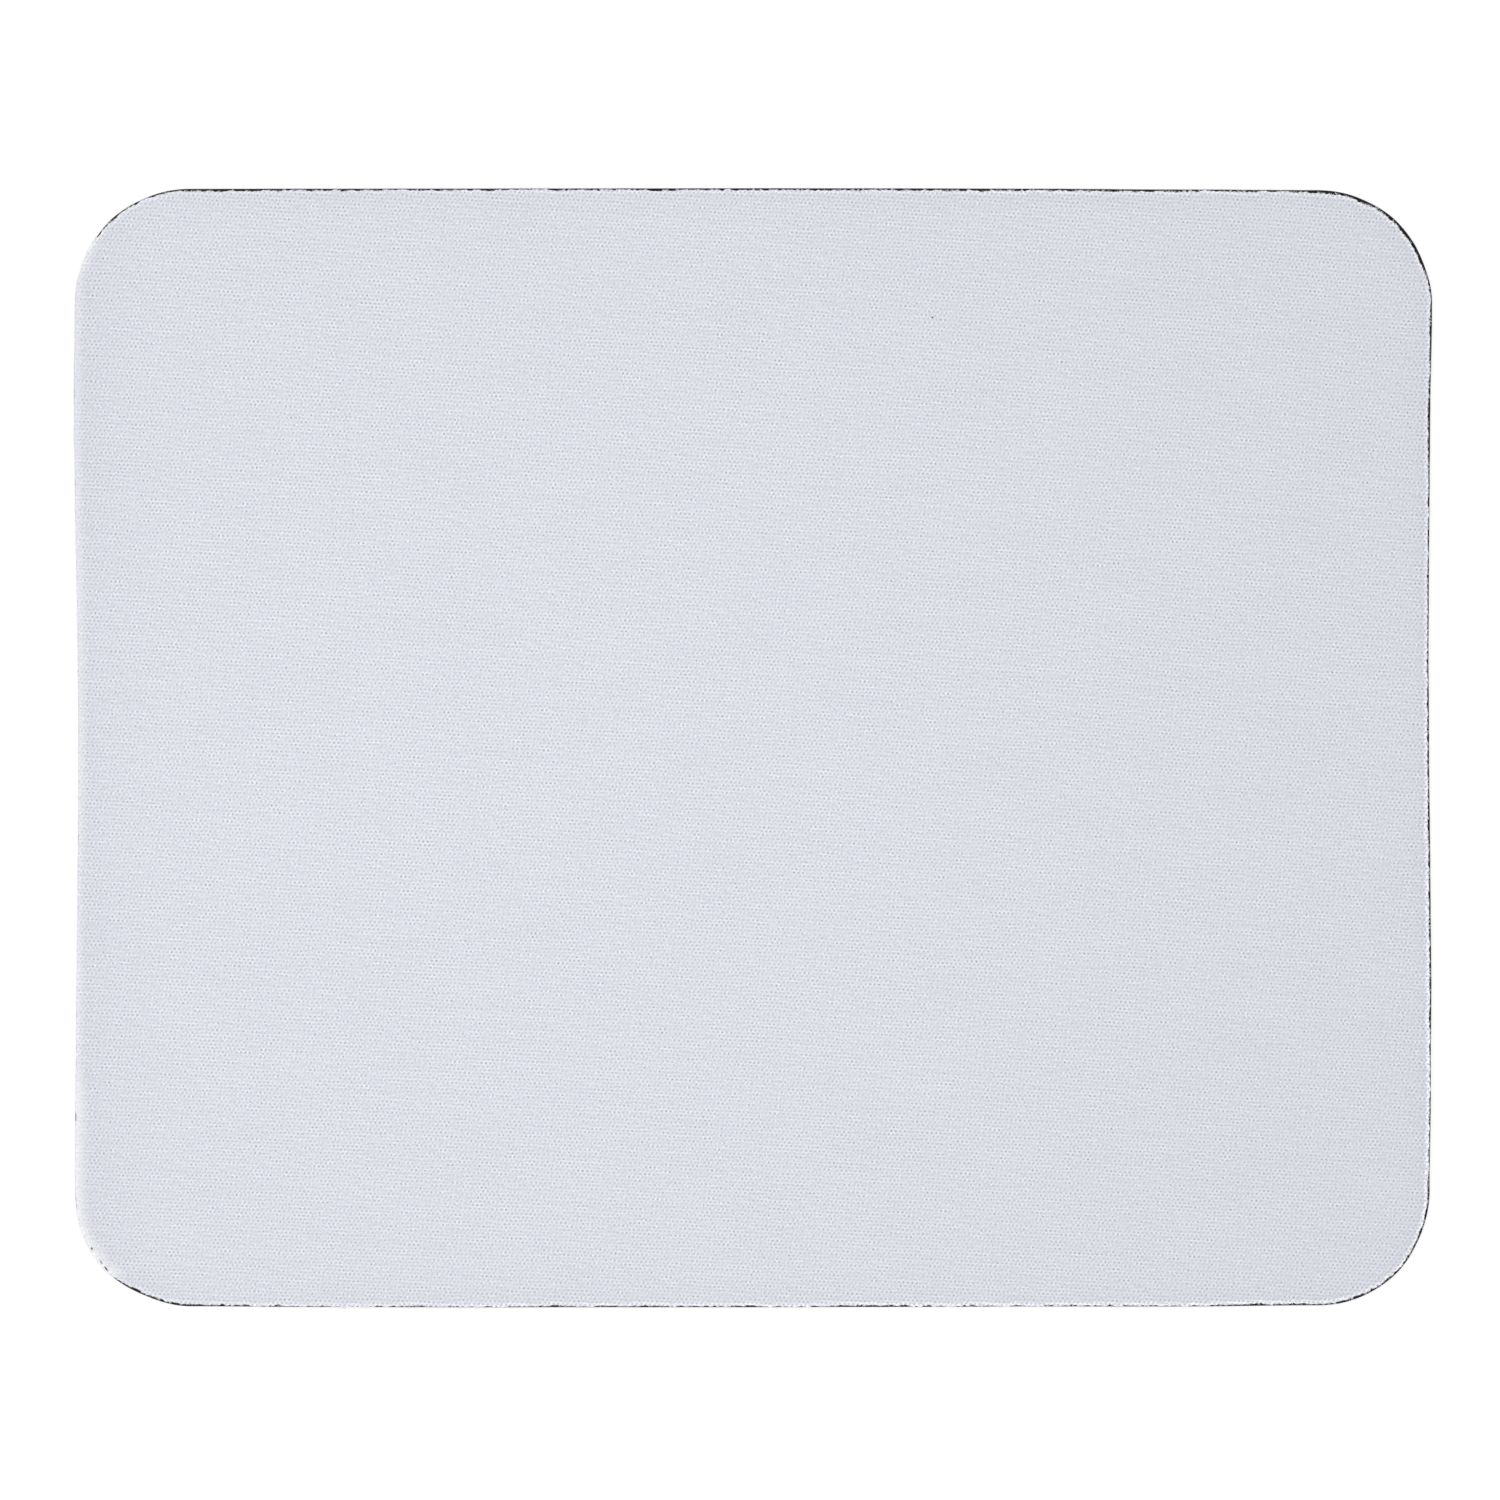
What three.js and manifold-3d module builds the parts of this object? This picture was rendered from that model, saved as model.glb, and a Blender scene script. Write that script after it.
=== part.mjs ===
// Fabric-topped mouse pad: a knitted cloth bonded by a thin film to a foam rubber base.
// Millimetres, +Z up, +X along the long side. The origin is under the pad's centre, on the desk.
import * as THREE from "three";
import Module from "manifold-3d";

// Overall size, measured at the foot of the cut edge
const padLength = 230;
const padWidth = 190;
const cornerRadius = 19.5;

// The short sides are drawn in a little between the corners
const leftBow = 0.8;
const rightBow = 0.45;

// Layers, from the desk up
const foamThickness = 2.4;
const filmThickness = 0.1;
const clothThickness = 0.5;

// The cutting die rolls the top edge down and leaves a hollow wall on a wider foot
const rollWidth = 1.6;
const rollDrop = 0.35;
const footRim = 0.25;
const bladeLean = 0.2; // more foot shows on the right, and almost none on the left
const wallHollow = 0.22;
const clothDraw = 0.08; // how far the cloth's cut edge slopes in from bottom to top

// Anti-slip relief under the base: wavy grooves between flat ribs
const ribPitch = 7;
const grooveWidth = 2.6;
const grooveDepth = 0.3;
const waveLength = 40;
const waveHeight = 5;
const cutOverrun = 1; // how far a groove's cutter passes the pad's foot and ends

// How finely the curves are stepped
const cornerSteps = 12;
const sideSteps = 10;
const rollSteps = 4;
const wallSteps = 5;
const stepsPerWave = 8;

const quarterTurn = Math.PI / 2;
const wasm = await Module();
wasm.setup();

// The four sides, anticlockwise from the right: how far out each lies, half its straight run, its bow
const longSide = { reach: padWidth / 2, half: padLength / 2 - cornerRadius, bow: 0 };
const shortSide = { reach: padLength / 2, half: padWidth / 2 - cornerRadius };
const sides = [{ ...shortSide, bow: rightBow }, longSide, { ...shortSide, bow: leftBow }, longSide];

// The outline's points and outward directions along one side and round the corner after it
function sideAndCorner({ reach, half, bow }, index) {
  const outward = new THREE.Vector2(1, 0).rotateAround(new THREE.Vector2(), index * quarterTurn);
  const onward = new THREE.Vector2(-outward.y, outward.x);
  const points = [];
  const steps = bow > 0 ? sideSteps : 1;
  for (let i = 1; i < steps; i++) {
    const share = (2 * i) / steps - 1;
    const drawnIn = bow * Math.cos(share * quarterTurn) ** 2;
    const place = outward.clone().multiplyScalar(reach - drawnIn);
    points.push({ place: place.addScaledVector(onward, share * half), outward });
  }
  const centre = outward.clone().multiplyScalar(reach - cornerRadius).addScaledVector(onward, half);
  for (let i = 0; i <= cornerSteps; i++) {
    const turned = (i / cornerSteps) * quarterTurn;
    const away = outward.clone().rotateAround(new THREE.Vector2(), turned);
    points.push({ place: centre.clone().addScaledVector(away, cornerRadius), outward: away });
  }
  return points;
}

const outline = sides.flatMap(sideAndCorner);

// The outline at height z, moved in by a share of the foot's rim and by a further distance
function ring(rimShare, inward, z) {
  return outline.map(({ place, outward }) => {
    const rim = footRim + bladeLean * outward.x;
    const moved = place.clone().addScaledVector(outward, -rimShare * rim - inward);
    return new THREE.Vector3(moved.x, moved.y, z);
  });
}

// Rings from where a layer's face starts to roll down, out to its cut edge
function rolledFace(z, draw = 0) {
  return Array.from({ length: rollSteps + 1 }, (_, i) => {
    const share = i / rollSteps;
    return ring(1, rollWidth * (1 - share) + draw * share, z - rollDrop * share ** 2);
  });
}

// A closed solid through rings of matching points, with its two ends filled in
function loft(rings, flatten) {
  const count = rings[0].length;
  const geometry = new THREE.BufferGeometry().setFromPoints(rings.flat());
  const index = [];
  for (let level = 0; level + 1 < rings.length; level++) {
    for (let i = 0; i < count; i++) {
      const here = level * count + i;
      const next = level * count + ((i + 1) % count);
      index.push(here, next, next + count, here, next + count, here + count);
    }
  }
  const faces = THREE.ShapeUtils.triangulateShape(rings[0].map(flatten), []);
  const lastRing = (rings.length - 1) * count;
  faces.forEach(([a, b, c]) => index.push(c, b, a, lastRing + a, lastRing + b, lastRing + c));
  return geometry.setIndex(index);
}

const fromAbove = (point) => new THREE.Vector2(point.x, point.y);
const fromTheEnd = (point) => new THREE.Vector2(point.y, point.z);

// A sheet of even thickness whose edges follow the roll, its lower face at zero
function rolledSheet(thickness, draw) {
  return loft([...rolledFace(0), ...rolledFace(thickness, draw).reverse()], fromAbove);
}

// The base before its relief: a flat foot, a hollow wall flaring to the foot, and the rolled top
function plainBase() {
  const edgeHeight = foamThickness - rollDrop;
  const wall = Array.from({ length: wallSteps }, (_, i) => {
    const share = i / wallSteps;
    const hollow = wallHollow * 4 * share * (1 - share);
    return ring(1 - (1 - share) ** 2, hollow, edgeHeight * share);
  });
  return loft([...wall, ...rolledFace(foamThickness).reverse()], fromAbove);
}

// A cutter for one wavy V groove, standing on the underside at distance y from the middle
function grooveCutter(y) {
  const step = waveLength / stepsPerWave;
  const reach = Math.ceil((padLength / 2 + cutOverrun) / step);
  const rings = [];
  for (let i = -reach; i <= reach; i++) {
    const x = i * step;
    const middle = y + (waveHeight / 2) * Math.sin((x / waveLength) * 2 * Math.PI);
    const section = [
      [-grooveWidth / 2, -cutOverrun],
      [grooveWidth / 2, -cutOverrun],
      [grooveWidth / 2, 0],
      [0, grooveDepth],
      [-grooveWidth / 2, 0],
    ];
    rings.push(section.map(([across, up]) => new THREE.Vector3(x, middle + across, up)));
  }
  return loft(rings, fromTheEnd);
}

// The geometry as a solid that can be cut
function solidOf(geometry) {
  const vertProperties = new Float32Array(geometry.getAttribute("position").array);
  const triVerts = new Uint32Array(geometry.getIndex().array);
  return new wasm.Manifold(new wasm.Mesh({ numProp: 3, vertProperties, triVerts }));
}

// The solid's surface as a geometry again
function geometryOf(solid) {
  const { vertProperties, triVerts } = solid.getMesh();
  const position = new THREE.BufferAttribute(vertProperties, 3);
  return new THREE.BufferGeometry().setAttribute("position", position)
    .setIndex(new THREE.BufferAttribute(triVerts, 1));
}

// The base with its grooves, which run out through the cut edge as on embossed sheet
function ribbedBase() {
  const rows = Math.ceil((padWidth + waveHeight) / ribPitch / 2);
  let solid = solidOf(plainBase());
  for (let row = -rows; row < rows; row++) {
    solid = solid.subtract(solidOf(grooveCutter((row + 0.5) * ribPitch)));
  }
  return geometryOf(solid);
}

// A named layer at its height in the stack
function layer(name, geometry, height, finish) {
  const mesh = new THREE.Mesh(geometry, new THREE.MeshStandardMaterial(finish));
  mesh.name = name;
  mesh.position.z = height;
  mesh.geometry.computeVertexNormals();
  return mesh;
}

const blackFoam = { color: new THREE.Color(0.035, 0.032, 0.034), roughness: 0.9, metalness: 0 };
const clearFilm = { color: new THREE.Color(0.75, 0.75, 0.72), roughness: 0.4, metalness: 0 };
const whiteKnit = { color: new THREE.Color(0.73, 0.745, 0.79), roughness: 0.85, metalness: 0 };

const pad = new THREE.Group();
pad.name = "mouse_pad";
pad.add(layer("foam_base", ribbedBase(), 0, blackFoam));
pad.add(layer("bonding_film", rolledSheet(filmThickness, 0), foamThickness, clearFilm));
const clothHeight = foamThickness + filmThickness;
pad.add(layer("cloth_top", rolledSheet(clothThickness, clothDraw), clothHeight, whiteKnit));

export default pad;
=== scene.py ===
# A cloth-topped mouse pad seen from straight above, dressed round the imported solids.
# Metres, +Z up, +X along the long side. The origin is under the pad's centre, on the desk.
import math
import random

import bmesh
import bpy
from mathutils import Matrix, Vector, noise
from mathutils.geometry import delaunay_2d_cdt


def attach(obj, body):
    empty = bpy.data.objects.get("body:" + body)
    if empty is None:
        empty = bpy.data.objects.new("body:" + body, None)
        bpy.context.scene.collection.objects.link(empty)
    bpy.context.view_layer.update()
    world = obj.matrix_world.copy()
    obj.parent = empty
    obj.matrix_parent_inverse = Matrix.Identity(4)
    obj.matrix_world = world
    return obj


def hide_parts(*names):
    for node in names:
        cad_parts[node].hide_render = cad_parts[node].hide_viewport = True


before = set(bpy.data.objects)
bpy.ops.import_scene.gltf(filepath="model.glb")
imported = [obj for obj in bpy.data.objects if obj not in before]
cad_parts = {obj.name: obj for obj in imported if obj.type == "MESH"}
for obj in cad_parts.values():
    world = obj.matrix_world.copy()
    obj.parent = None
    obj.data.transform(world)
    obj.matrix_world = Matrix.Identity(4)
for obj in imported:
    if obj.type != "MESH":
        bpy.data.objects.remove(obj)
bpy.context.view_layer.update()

mm = 0.001
quarterTurn = math.pi / 2
fullTurn = 2 * math.pi
scene = bpy.context.scene

cameraSetup = {
    "frameWidth": 254.5 * mm,  # what the picture spans at the cloth's height
    "height": 3.0,  # above the cloth, far enough that the edges show as they do in the photograph
    "clothHeight": 3 * mm,
    "aside": (-0.54 * mm, -0.44 * mm),  # the pad lies a little right of and above the middle
    "sensor": 36,
}


def addCamera(setup):
    data = bpy.data.cameras.new("overheadCamera")
    data.sensor_width = setup["sensor"]
    data.lens = setup["sensor"] * setup["height"] / setup["frameWidth"]
    camera = bpy.data.objects.new("overheadCamera", data)
    camera.location = (*setup["aside"], setup["height"] + setup["clothHeight"])
    scene.collection.objects.link(camera)
    scene.camera = camera


addCamera(cameraSetup)
print("camera placed")

lightSetup = {
    "worldColor": (1.0, 1.0, 1.0, 1),
    "worldStrength": 0.778,
    "lamps": {
        # name: place, aim, size and power
        "overheadSoftbox": ((-0.06, -0.01, 0.38), (-0.06, -0.01, 0.0), 0.12, 0.30),
        "leftSoftbox": ((-0.75, 0.0, 0.22), (0.0, 0.0, 0.0), 0.4, 0.3),
    },
}


def addLamps(setup):
    for name, (place, aim, size, power) in setup["lamps"].items():
        data = bpy.data.lights.new(name, "AREA")
        data.shape = "DISK"
        data.size = size
        data.energy = power
        lamp = bpy.data.objects.new(name, data)
        lamp.location = place
        toAim = Vector(aim) - Vector(place)
        lamp.rotation_euler = toAim.to_track_quat("-Z", "Y").to_euler()
        lamp.visible_camera = False  # the overhead one hangs in the camera's way
        scene.collection.objects.link(lamp)


addLamps(lightSetup)
print("lamps hung")

nodeGrid = {"columns": 12, "across": 200, "down": 260}  # how the nodes are laid out in the editor


# Sets a socket to a number, or links it to another socket
def feed(tree, socket, value):
    if isinstance(value, bpy.types.NodeSocket):
        tree.links.new(value, socket)
    else:
        socket.default_value = value


def addNode(tree, kind, inputs=None, **settings):
    node = tree.nodes.new(kind)
    row, column = divmod(len(tree.nodes), nodeGrid["columns"])
    node.location = (nodeGrid["across"] * column, -nodeGrid["down"] * row)
    for name, value in settings.items():
        setattr(node, name, value)
    for name, value in (inputs or {}).items():
        feed(tree, node.inputs[name], value)
    return node


def calc(tree, operation, *values):
    return addNode(tree, "ShaderNodeMath", dict(enumerate(values)), operation=operation).outputs[0]


def multiply(tree, first, *others):
    product = first
    for value in others:
        product = calc(tree, "MULTIPLY", product, value)
    return product


# A start, plus each value times its weight
def weighed(tree, start, *parts):
    running = start
    for value, weight in parts:
        running = calc(tree, "ADD", running, calc(tree, "MULTIPLY", value, weight))
    return running


# The first of the weights, plus each value times its own
def byWeights(tree, weights, *values):
    return weighed(tree, weights[0], *zip(values, weights[1:]))


def vectorCalc(tree, operation, *values):
    return addNode(tree, "ShaderNodeVectorMath", dict(enumerate(values)), operation=operation).outputs[0]


def scaled(tree, vector, scale):
    return addNode(tree, "ShaderNodeVectorMath", {0: vector, "Scale": scale}, operation="SCALE").outputs[0]


def separated(tree, vector):
    return addNode(tree, "ShaderNodeSeparateXYZ", {0: vector}).outputs


def combined(tree, x, y, z=0.0):
    return addNode(tree, "ShaderNodeCombineXYZ", {"X": x, "Y": y, "Z": z}).outputs[0]


def remap(tree, value, fromLow, fromHigh, toLow, toHigh, kind="SMOOTHSTEP"):
    inputs = {"Value": value, "From Min": fromLow, "From Max": fromHigh, "To Min": toLow, "To Max": toHigh}
    return addNode(tree, "ShaderNodeMapRange", inputs, interpolation_type=kind).outputs[0]


def clouds(tree, place, scale, detail):
    return addNode(tree, "ShaderNodeTexNoise", {"Vector": place, "Scale": scale, "Detail": detail}).outputs


def storedNumber(tree, name):
    return addNode(tree, "ShaderNodeAttribute", attribute_name=name).outputs["Fac"]


# Where a point lies on the object, in millimetres
def placeInMm(tree):
    return scaled(tree, addNode(tree, "ShaderNodeTexCoord").outputs["Object"], 1 / mm)


def newGroup(name, inputs, outputs):
    group = bpy.data.node_groups.new(name, "ShaderNodeTree")
    for socketName, kind, value in inputs:
        socket = group.interface.new_socket(socketName, in_out="INPUT", socket_type="NodeSocket" + kind)
        if value is not None:
            socket.default_value = value
    for socketName, kind in outputs:
        group.interface.new_socket(socketName, in_out="OUTPUT", socket_type="NodeSocket" + kind)
    source = group.nodes.new("NodeGroupInput")
    source.location.x = -nodeGrid["across"]
    sink = group.nodes.new("NodeGroupOutput")
    sink.location.x = nodeGrid["across"] * nodeGrid["columns"]
    return group, source.outputs, sink


def useGroup(tree, group, inputs):
    return addNode(tree, "ShaderNodeGroup", inputs, node_tree=group).outputs


def newMaterial(name):
    material = bpy.data.materials.new(name)
    material.use_nodes = True
    tree = material.node_tree
    tree.nodes.clear()
    output = addNode(tree, "ShaderNodeOutputMaterial")
    return material, tree, output


# Fine irregular grain, centred on zero
def makeGrainGroup():
    group, given, sink = newGroup(
        "fineGrain",
        [("Place", "Vector", None), ("Grain mm", "Float", 0.2), ("Stretch", "Vector", (1, 1, 1)),
         ("Detail", "Float", 2.0)],
        [("Grain", "Float"), ("Tint", "Color")])
    stretched = vectorCalc(group, "MULTIPLY", given["Place"], given["Stretch"])
    cloud = clouds(group, stretched, calc(group, "DIVIDE", 1.0, given["Grain mm"]), given["Detail"])
    feed(group, sink.inputs["Grain"], calc(group, "SUBTRACT", cloud["Fac"], 0.5))
    feed(group, sink.inputs["Tint"], cloud["Color"])
    return group


cutFadeSetup = {"raggedPerMm": 1.1, "raggedDetail": 3.0}


# A mask that fades inwards from the cut, raggedly: for where the die frays the cut and drags the foam, and
# for painted highlight and painted shade near the cut
def makeCutFadeGroup(setup):
    group, given, sink = newGroup(
        "cutFade",
        [("Place", "Vector", None), ("Distance", "Float", 0.0), ("Reach", "Float", 1.0),
         ("Raggedness", "Float", 0.3)],
        [("Wear", "Float")])
    ragged = clouds(group, given["Place"], setup["raggedPerMm"], setup["raggedDetail"])["Fac"]
    ragged = calc(group, "SUBTRACT", ragged, 0.5)
    strayed = weighed(group, given["Distance"], (ragged, given["Raggedness"]))
    share = calc(group, "DIVIDE", strayed, given["Reach"])
    feed(group, sink.inputs["Wear"], remap(group, share, 0.0, 1.0, 1.0, 0.0))
    return group


knitSetup = {
    "waleSlope": (1.276, -0.988),  # how many loops to a millimetre of x and of y
    "courseSlope": (-0.0943, -1.629),
    "wale": (0.751, -0.044),  # from one pore to the next along a course, and to the next course, in mm
    "course": (-0.455, -0.589),
    "waleDrift": (-7.7e-5, 6.1e-5, 0.0),  # slow stretch by x squared, x times y and y squared
    "courseDrift": (-9.3e-5, -1.07e-4, 2.75e-4),
    "wander": 1.0,  # how far the loops stray in all, in loops
    "wanderMm": 45,
    "lean": (0.358, 0.934),  # the way that pores and legs lean
    "poreHalf": (0.34, 0.38),
    "legHalf": (0.32, 0.36),
    "legShift": (0.5, 0.2),  # a leg's middle, in loops from the pore
    "spotFade": 1.05,  # how far out a pore or leg turns the other way, in half widths
    # Turns for each loop along and across, and strength
    "waves": ((1, 0, 0.9), (0, 1, 0.74), (-1, 1, 0.58)),
    # The same for fainter waves, because every other course comes from a second yarn
    "yarnWaves": ((0.868, -0.443, 0.23), (1.150, -0.557, 0.25), (0.219, 0.652, 0.17),
                  (0.867, -1.459, 0.25), (1.112, -1.572, 0.20), (1.0, -2.0, 0.27)),
    "chevron": 1.1,
    "filamentsPerLoop": 7,
    # How many of each to a loop along and across
    "runs": (0.28, 1.0, 1),
    "levelStreaks": (0.35, 1.7, 1),
    "uprightStreaks": (1.3, 0.4, 1),
    "bars": (0.03, 0.45, 1),
    "uprightShare": 0.46,
}


# Loops of the jersey on a skewed lattice: a rounded relief, a pore at each point, brighter legs between
# the pores, and numbers that differ by run, by streak, by faint bar along the courses and by filament
def makeKnitGroup(setup):
    group, given, sink = newGroup(
        "knitLoops",
        [("Place", "Vector", None)],
        [("Relief", "Float"), ("Yarns", "Float"), ("Pore", "Float"), ("Leg", "Float"), ("Run", "Float"),
         ("Streak", "Float"), ("Bar", "Float"), ("Filament", "Float")])
    split = separated(group, given["Place"])
    x = split["X"]
    y = split["Y"]
    drift = separated(group, clouds(group, given["Place"], 1 / setup["wanderMm"], 1.0)["Color"])

    def loopCount(slope, bend, wandering):
        squares = [multiply(group, x, x), multiply(group, x, y), multiply(group, y, y)]
        bent = [(square, share) for square, share in zip(squares, bend) if share]
        strayed = (calc(group, "SUBTRACT", wandering, 0.5), setup["wander"])
        return weighed(group, 0.0, (x, slope[0]), (y, slope[1]), *bent, strayed)

    along = loopCount(setup["waleSlope"], setup["waleDrift"], drift["X"])
    across = loopCount(setup["courseSlope"], setup["courseDrift"], drift["Y"])
    wale = Vector(setup["wale"])
    course = Vector(setup["course"])
    lean = Vector(setup["lean"])
    side = Vector((lean.y, -lean.x))

    # A leaning ellipse in every loop, deeper or shallower by that loop's own luck
    def spots(alongShift, acrossShift, half, salt):
        shifted = [calc(group, "ADD", along, alongShift), calc(group, "ADD", across, acrossShift)]
        cells = [calc(group, "ROUND", value) for value in shifted]
        parts = [calc(group, "SUBTRACT", value, cell) for value, cell in zip(shifted, cells)]
        cell = combined(group, *cells, salt)
        luck = addNode(group, "ShaderNodeTexWhiteNoise", {"Vector": cell}).outputs["Value"]
        luck = calc(group, "SUBTRACT", luck, 0.5)
        squares = []
        for axis, reach in ((side, half[0]), (lean, half[1])):
            steps = [step.dot(axis) / reach for step in (wale, course)]
            measured = weighed(group, 0.0, *zip(parts, steps))
            squares.append(multiply(group, measured, measured))
        radius = calc(group, "SQRT", calc(group, "ADD", *squares))
        # One way in the middle and a little the other way round it, fading out where the next loop begins
        swell = calc(group, "COSINE", multiply(group, radius, math.pi / setup["spotFade"]))
        fades = [calc(group, "COSINE", multiply(group, part, math.pi)) for part in parts]
        return multiply(group, swell, luck, multiply(group, *fades))

    # Rounded waves, low at the pores and high along the legs
    def waves(rows):
        crests = []
        for alongTurns, acrossTurns, strength in rows:
            phase = weighed(group, 0.0, (along, alongTurns * fullTurn), (across, acrossTurns * fullTurn))
            crests.append((calc(group, "COSINE", phase), -strength))
        return weighed(group, 0.0, *crests)

    # The filaments of the two legs of a loop make a V
    fromMiddle = calc(group, "SUBTRACT", along, calc(group, "ROUND", along))
    chevron = weighed(group, across, (calc(group, "ABSOLUTE", fromMiddle), setup["chevron"]))
    filamentPlace = combined(group, multiply(group, chevron, setup["filamentsPerLoop"]), along)
    loopPlace = combined(group, along, across)

    def cloudsByLoop(perLoop, detail, aside=(0, 0, 0)):
        place = vectorCalc(group, "MULTIPLY_ADD", loopPlace, perLoop, aside)
        return calc(group, "SUBTRACT", clouds(group, place, 1.0, detail)["Fac"], 0.5)

    # A streak is the difference between two clouds, one step apart
    def streaks(perLoop, *asides):
        return calc(group, "SUBTRACT", *(cloudsByLoop(perLoop, 0.0, aside) for aside in asides))

    level = streaks(setup["levelStreaks"], (0, 0, 0), (0, 1, 0))
    upright = streaks(setup["uprightStreaks"], (7, 0, 3), (8, 0, 3))
    filaments = clouds(group, filamentPlace, 1.0, 1.0)["Fac"]
    results = {
        "Relief": waves(setup["waves"]),
        "Yarns": waves(setup["yarnWaves"]),
        "Pore": spots(0, 0, setup["poreHalf"], 0),
        "Leg": spots(*setup["legShift"], setup["legHalf"], 7),
        "Run": cloudsByLoop(setup["runs"], 1.0),
        "Streak": weighed(group, level, (upright, setup["uprightShare"])),
        "Bar": cloudsByLoop(setup["bars"], 1.0, (0, 0, 9)),
        "Filament": calc(group, "SUBTRACT", filaments, 0.5),
    }
    for name, value in results.items():
        feed(group, sink.inputs[name], value)
    return group


grainGroup = makeGrainGroup()
cutFadeGroup = makeCutFadeGroup(cutFadeSetup)
knitGroup = makeKnitGroup(knitSetup)


# In the finishes, a grain is its size in mm, its detail and its stretch, and a fade is how far it reaches
# in from the cut or the foot and how raggedly, in mm
def grainOf(tree, place, size, detail=2.0, stretch=(1, 1, 1)):
    inputs = {"Place": place, "Grain mm": size, "Detail": detail, "Stretch": stretch}
    return useGroup(tree, grainGroup, inputs)


def fadeOf(tree, place, distance, reach, raggedness):
    inputs = {"Place": place, "Distance": distance, "Reach": reach, "Raggedness": raggedness}
    return useGroup(tree, cutFadeGroup, inputs)["Wear"]


# The material's shader, with a bump that follows the height
def addSurface(tree, finish, color, roughness, height):
    bump = addNode(tree, "ShaderNodeBump", {"Height": height, **finish["bump"]}).outputs[0]
    inputs = {"Base Color": color, "Roughness": roughness, "Normal": bump, **finish["sockets"]}
    return addNode(tree, "ShaderNodeBsdfPrincipled", inputs)


polyesterSockets = {"Sheen Weight": 0.12, "Sheen Roughness": 0.5, "Specular IOR Level": 0.25}

clothFinish = {
    "color": (0.735, 0.750, 0.820),
    "shadeTint": (1, 1, 0.9),  # light and dark places differ less in blue
    # How much lighter each feature makes the cloth; the relief's share is painted shade in the knit's
    # hollows and painted highlight on its crests
    "relief": 0.078,
    "pores": -0.42,
    "legs": 0.32,
    "runs": 2.4,  # how far the strength of the three above differs from run to run
    "yarns": 0.078,
    "streaks": 0.13,
    "fibres": 0.14,
    "mottle": 0.030,
    "bars": 0.05,
    "filaments": 0.07,
    "cutFibres": 0.9,
    # Pale cut fibres and painted highlight on the rolled edge, at the cut
    "edgeFibresAndHighlight": 0.30,
    "borderShade": -0.020,  # painted shade: the cloth is a little darker near the cut, where its border droops
    "leftShade": -0.028,  # painted shade, more along the left
    "leftHighlight": (0.090, 0.086, 0.064),  # painted highlight on the rolled edge along the left, whiter than the cloth
    "speckle": (0.15, 0.13, 0.16),
    "edgeFade": (0.85, 0.5),
    "leftHighlightFade": (2.0, 0.5),
    "borderShadeFade": (7.0, 1.0),
    "leftShadeX": (-98, -115),
    "closing": -0.6,  # how the pores and legs fade at the cut
    "fibresAndHighlight": (0.6, 2.0, 0.3),  # how much the cut is brightened by pale fibres and painted highlight: everywhere, by the fibres and by the relief
    "cutFace": (0.3, 0.75),  # how level a face is, from the cut to the top
    "fibreGrain": (0.25, 2.0, (0.9, 1.0, 1.0)),
    "mottleGrain": (9.0, 2.0),
    "cutGrain": (0.09, 2.0, (1, 1, 0.4)),
    "height": (0.0, 0.05, 0.08, 0.05, 0.25),  # everywhere, by the relief, fibres, filaments and cut fibres
    "roughness": (0.88, 0.2, -0.02),  # everywhere, by the fibres and by the relief
    "bump": {"Strength": 0.35, "Distance": 1 * mm},
    "sockets": polyesterSockets,
}
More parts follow.
